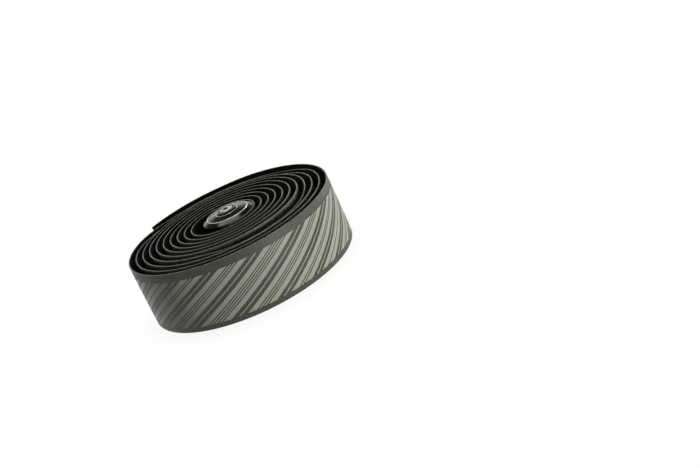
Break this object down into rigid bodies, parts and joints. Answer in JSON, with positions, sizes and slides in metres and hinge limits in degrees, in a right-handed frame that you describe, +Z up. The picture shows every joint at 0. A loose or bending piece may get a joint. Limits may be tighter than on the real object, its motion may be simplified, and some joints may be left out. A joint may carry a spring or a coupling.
{
  "type": "handlebar tape roll",
  "caption": "Round roll of bevelled foam handlebar tape, striped outside, lying on its turns, with a stepped bar end plug and its clamp screw in the core.",
  "frame": {"origin": "bottom centre of the whole part, on the surface that the outer turns stand on", "axes": "+Z up along the axis of the roll, towards the plug's cap; +X towards the side of the core that the plug leans on; the loose end of the tape is in the -X, +Y quarter"},
  "size_m": [0.0988, 0.1006, 0.034],
  "materials": {
    "printed_foam": "matt printed skin on closed cell foam",
    "gloss_cap": "polished",
    "screw_steel": "bright",
    "plug_plastic": "moulded"
  },
  "bodies": {
    "root": {"tape": "printed_foam", "plug_cap": "gloss_cap", "plug_screw": "screw_steel", "plug_sleeve": "plug_plastic", "plug_cone_nut": "plug_plastic"}
  },
  "joints": []
}
